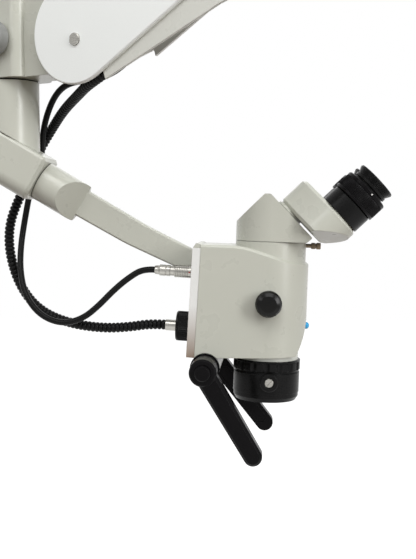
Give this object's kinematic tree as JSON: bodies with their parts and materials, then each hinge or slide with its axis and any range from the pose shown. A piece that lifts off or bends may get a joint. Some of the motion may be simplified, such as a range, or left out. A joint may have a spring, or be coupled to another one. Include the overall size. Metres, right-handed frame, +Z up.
{
  "type": "operating microscope",
  "caption": "Binocular operating microscope head on an oblique carrier bar, upright column and balanced spring arm, held by a vertical spigot.",
  "frame": {"origin": "on the axis of the mounting spigot, at the underside of its collar seat on the rear knuckle", "axes": "+Z up, along the spigot axis; +X from the column towards the eyepieces; +Y to the far side"},
  "size_m": [0.5936, 0.3653, 0.5832],
  "materials": {
    "paint": "satin",
    "cover": "satin",
    "grey_paint": "satin",
    "steel": "brushed",
    "bright": "polished",
    "silver": "brushed",
    "black_metal": "satin",
    "black_plastic": "matt",
    "black_gloss": "gloss",
    "grey_knob": "matt",
    "bronze": "satin",
    "blue": "gloss",
    "rubber": "matt",
    "glass": "polished"
  },
  "bodies": {
    "root": {"rear_knuckle": "paint", "mounting_spigot": "steel", "rear_pins": "steel"},
    "spring_arm": {"arm_beam": "grey_paint", "arm_cover_near": "cover", "arm_cover_far": "cover", "cover_screws": "bright", "balance_spring": "steel"},
    "link": {"parallel_link": "steel"},
    "yoke": {"front_yoke": "paint", "front_pins": "steel", "hose_high": "rubber", "lead_high": "rubber"},
    "brake": {"brake_knob": "grey_knob"},
    "column": {"column_tube": "paint", "column_collar": "black_metal", "column_shaft": "steel", "swivel_block": "paint", "block_end_cap": "paint", "block_screw": "bright", "lead_clip": "black_plastic"},
    "head": {"carrier_bar": "paint", "swivel_washer": "black_metal", "swivel_spindle": "steel", "head_body": "paint", "head_plate": "silver", "plate_trim": "paint", "mount_ring": "silver", "objective_sleeve": "black_metal", "sleeve_boss": "black_metal", "handle_flanges": "black_plastic", "plate_ports": "black_metal", "signal_plug": "bright", "guide_ferrule": "bright", "hose_low": "rubber", "lead_low": "rubber"},
    "front_button": {"blue_button": "blue"},
    "focus": {"focus_ring": "black_metal"},
    "cell": {"lens_cell": "black_metal", "objective_lens": "glass"},
    "zoom": {"zoom_drum": "black_metal", "zoom_knob_near": "black_gloss", "zoom_knob_far": "black_gloss"},
    "handle_near": {"handle_near": "black_plastic"},
    "handle_far": {"handle_far": "black_plastic"},
    "cap_near": {"handle_button_near": "black_plastic"},
    "cap_far": {"handle_button_far": "black_plastic"},
    "collar": {"guide_collar": "black_metal"},
    "binocular": {"binocular_roof": "paint"},
    "clamp": {"thumb_screw": "bronze"},
    "prism_near": {"prism_housing_near": "paint", "eyepiece_tube_near": "black_metal", "eye_lens_near": "glass"},
    "prism_far": {"prism_housing_far": "paint", "eyepiece_tube_far": "black_metal", "eye_lens_far": "glass"},
    "eyepiece_near": {"eyepiece_ring_near": "black_metal", "eyecup_near": "rubber"},
    "eyepiece_far": {"eyepiece_ring_far": "black_metal", "eyecup_far": "rubber"}
  },
  "joints": [
    {"name": "arm_lift", "type": "hinge", "parent": "root", "child": "spring_arm", "pos_m": [-0.08197, 0.04177, 0.042], "axis": [0.454, 0.891, 0], "range_deg": [-22, 30], "deforming": ["hose_high", "lead_high"]},
    {"name": "link_swing", "type": "hinge", "parent": "root", "child": "link", "pos_m": [-0.08197, 0.04177, 0.072], "axis": [0.454, 0.891, 0], "range_deg": [-22, 30]},
    {"name": "yoke_level", "type": "hinge", "parent": "spring_arm", "child": "yoke", "pos_m": [-0.40398, 0.20584, -0.07543], "axis": [0.454, 0.891, 0], "range_deg": [-30, 22], "deforming": ["hose_high", "lead_high"]},
    {"name": "brake_turn", "type": "hinge", "parent": "yoke", "child": "brake", "pos_m": [-0.4976, 0.22211, -0.07643], "axis": [-0.454, -0.891, 0], "range_deg": [-90, 90]},
    {"name": "column_swivel", "type": "hinge", "parent": "yoke", "child": "column", "pos_m": [-0.49308, 0.25124, -0.11343], "axis": [0, 0, 1], "range_deg": [-60, 60], "deforming": ["hose_high", "lead_high"]},
    {"name": "oblique_swivel", "type": "hinge", "parent": "column", "child": "head", "pos_m": [-0.49308, 0.25124, -0.19483], "axis": [0.8616, 0, -0.5075], "range_deg": [-45, 45], "deforming": ["hose_low", "lead_low"]},
    {"name": "button_press", "type": "slide", "parent": "head", "child": "front_button", "axis": [-0.9995, 0, 0.0314], "range_m": [0, 0.0015], "stiffness_N_per_m": 800},
    {"name": "focus_turn", "type": "hinge", "parent": "head", "child": "focus", "pos_m": [-0.23509, 0.25124, -0.39639], "axis": [0.0314, 0, 0.9995], "range_deg": [-135, 135]},
    {"name": "cell_slide", "type": "slide", "parent": "head", "child": "cell", "axis": [0.0314, 0, 0.9995], "range_m": [-0.0015, 0.0015]},
    {"name": "zoom_turn", "type": "hinge", "parent": "head", "child": "zoom", "pos_m": [-0.23308, 0.25124, -0.33243], "axis": [0, 1, 0], "continuous": true},
    {"name": "handle_turn_near", "type": "hinge", "parent": "head", "child": "handle_near", "pos_m": [-0.2945, 0.25124, -0.39553], "axis": [0, -1, 0], "range_deg": [-60, 30]},
    {"name": "cap_press_near", "type": "slide", "parent": "handle_near", "child": "cap_near", "axis": [0, 1, 0], "range_m": [0, 0.003], "stiffness_N_per_m": 500},
    {"name": "handle_turn_far", "type": "hinge", "parent": "head", "child": "handle_far", "pos_m": [-0.2945, 0.25124, -0.39553], "axis": [0, 1, 0], "range_deg": [-30, 60]},
    {"name": "cap_press_far", "type": "slide", "parent": "handle_far", "child": "cap_far", "axis": [0, -1, 0], "range_m": [0, 0.003], "stiffness_N_per_m": 500},
    {"name": "collar_turn", "type": "hinge", "parent": "head", "child": "collar", "pos_m": [-0.31171, 0.25124, -0.35974], "axis": [-0.9981, 0, 0.061], "range_deg": [-360, 0]},
    {"name": "binocular_turn", "type": "hinge", "parent": "head", "child": "binocular", "pos_m": [-0.23123, 0.25124, -0.27326], "axis": [0.0314, 0, 0.9995], "range_deg": [-30, 30]},
    {"name": "clamp_turn", "type": "hinge", "parent": "head", "child": "clamp", "pos_m": [-0.20295, 0.25124, -0.27775], "axis": [0.9995, 0, -0.0314], "range_deg": [-90, 90]},
    {"name": "prism_swing_near", "type": "hinge", "parent": "binocular", "child": "prism_near", "pos_m": [-0.21371, 0.23424, -0.24574], "axis": [-0.729, 0, -0.6845], "range_deg": [-9, 8]},
    {"name": "diopter_near", "type": "hinge", "parent": "prism_near", "child": "eyepiece_near", "pos_m": [-0.16554, 0.21925, -0.24736], "axis": [0.729, 0, 0.6845], "range_deg": [-150, 150]},
    {"name": "prism_swing_far", "type": "hinge", "parent": "binocular", "child": "prism_far", "pos_m": [-0.21371, 0.26824, -0.24574], "axis": [0.729, 0, 0.6845], "range_deg": [-9, 8]},
    {"name": "diopter_far", "type": "hinge", "parent": "prism_far", "child": "eyepiece_far", "pos_m": [-0.16554, 0.28323, -0.24736], "axis": [0.729, 0, 0.6845], "range_deg": [-150, 150]}
  ],
  "couplings": [
    {"joint": "link_swing", "follows": "arm_lift", "ratio": 1},
    {"joint": "yoke_level", "follows": "arm_lift", "ratio": -1},
    {"joint": "cell_slide", "follows": "focus_turn", "m_per_rad": 0.00063662},
    {"joint": "prism_swing_far", "follows": "prism_swing_near", "ratio": 1}
  ]
}
